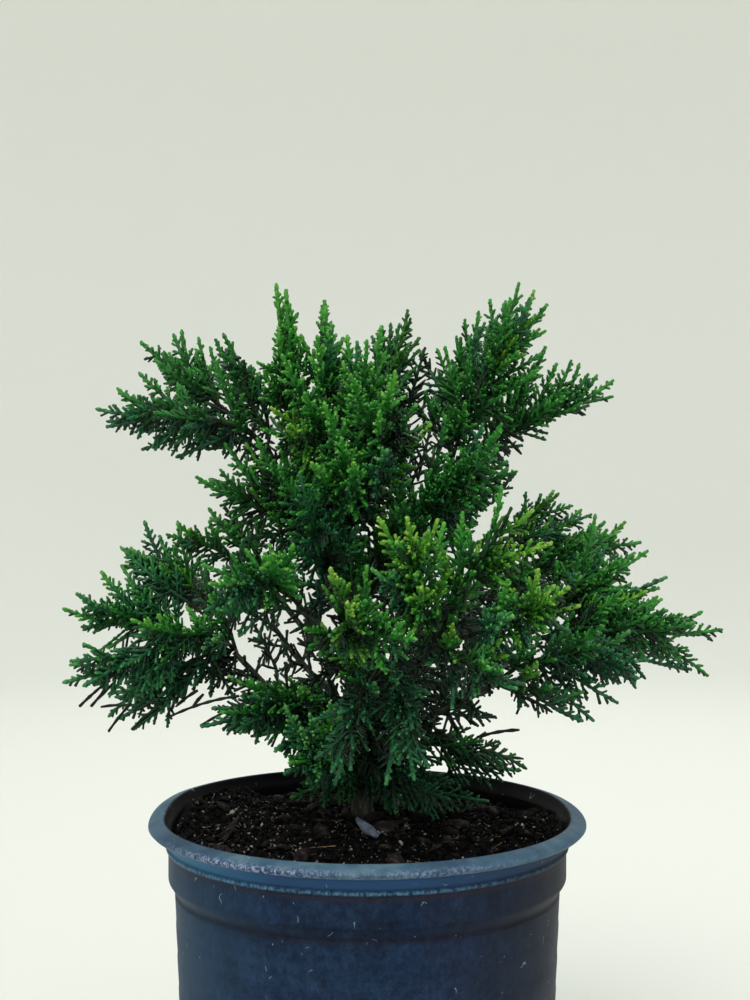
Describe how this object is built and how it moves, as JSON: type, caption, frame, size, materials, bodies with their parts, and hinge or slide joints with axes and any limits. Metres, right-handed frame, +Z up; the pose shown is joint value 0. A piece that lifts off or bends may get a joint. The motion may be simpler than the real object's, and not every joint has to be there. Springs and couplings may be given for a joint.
{
  "type": "potted young japanese cedar",
  "caption": "Young bushy Japanese cedar with cord-like evergreen foliage on a short trunk, growing in a round tapered nursery pot.",
  "frame": {"origin": "centre of the pot's flat underside, on the surface that it stands on", "axes": "+Z up; -Y is the side that faces the viewer, +X to that viewer's right"},
  "size_m": [0.351, 0.3041, 0.4699],
  "materials": {
    "pot": "dark blue-black moulded plastic, dusty and scuffed",
    "potting_mix": "damp dark potting mix with white perlite grains and bark chips",
    "bark": "rough grey-brown bark with a green tinge",
    "foliage": "satin scale-like leaves on cords",
    "foliage_young": "fresh yellow-green scale-like leaves on cords",
    "foliage_dark": "old shaded dark green scale-like leaves on cords"
  },
  "bodies": {
    "root": {"pot": "pot", "soil": "potting_mix", "trunk": "bark", "bough_front": "bark", "bough_front_right": "bark", "bough_front_left": "bark", "bough_left": "bark", "bough_left_upper": "bark", "bough_upper_left": "bark", "bough_upper_right": "bark", "bough_right_upper": "bark", "bough_right": "bark", "bough_right_lower": "bark", "bough_back": "bark", "bough_back_left": "bark", "bough_back_right": "bark", "foliage_leader": "foliage", "foliage_top_left": "foliage", "foliage_top_front": "foliage", "foliage_top_back": "foliage", "foliage_top_behind": "foliage", "foliage_upper_left_outer": "foliage", "foliage_upper_left_middle": "foliage", "foliage_upper_left_inner": "foliage", "foliage_middle_left": "foliage", "foliage_upper_right_inner": "foliage", "foliage_upper_right_middle": "foliage", "foliage_upper_right_outer": "foliage", "foliage_middle_right": "foliage", "foliage_inner_front": "foliage_dark", "foliage_right_upper_inner": "foliage", "foliage_right_upper_outer": "foliage", "foliage_right_top": "foliage", "foliage_right_middle": "foliage", "foliage_right_under": "foliage", "foliage_right_lower_inner": "foliage", "foliage_right_lower_outer": "foliage", "foliage_front_right_inner": "foliage_young", "foliage_front_right_upper": "foliage_young", "foliage_front_right_outer": "foliage_young", "foliage_front_right_lower": "foliage_young", "foliage_front_middle": "foliage_young", "foliage_front_low_left": "foliage_young", "foliage_front_low_right": "foliage_young", "foliage_front_left": "foliage_young", "foliage_low_left": "foliage_dark", "foliage_low_left_outer": "foliage_dark", "foliage_low_right": "foliage_dark", "foliage_left_middle": "foliage", "foliage_left_lower": "foliage", "foliage_left_under": "foliage_dark", "foliage_left_top": "foliage", "foliage_left_upper_outer": "foliage", "foliage_left_upper_inner": "foliage", "foliage_back_middle": "foliage", "foliage_back_lower": "foliage_dark", "foliage_back_left_outer": "foliage", "foliage_back_left_inner": "foliage_dark", "foliage_back_right_outer": "foliage", "foliage_back_right_inner": "foliage_dark"}
  },
  "joints": []
}
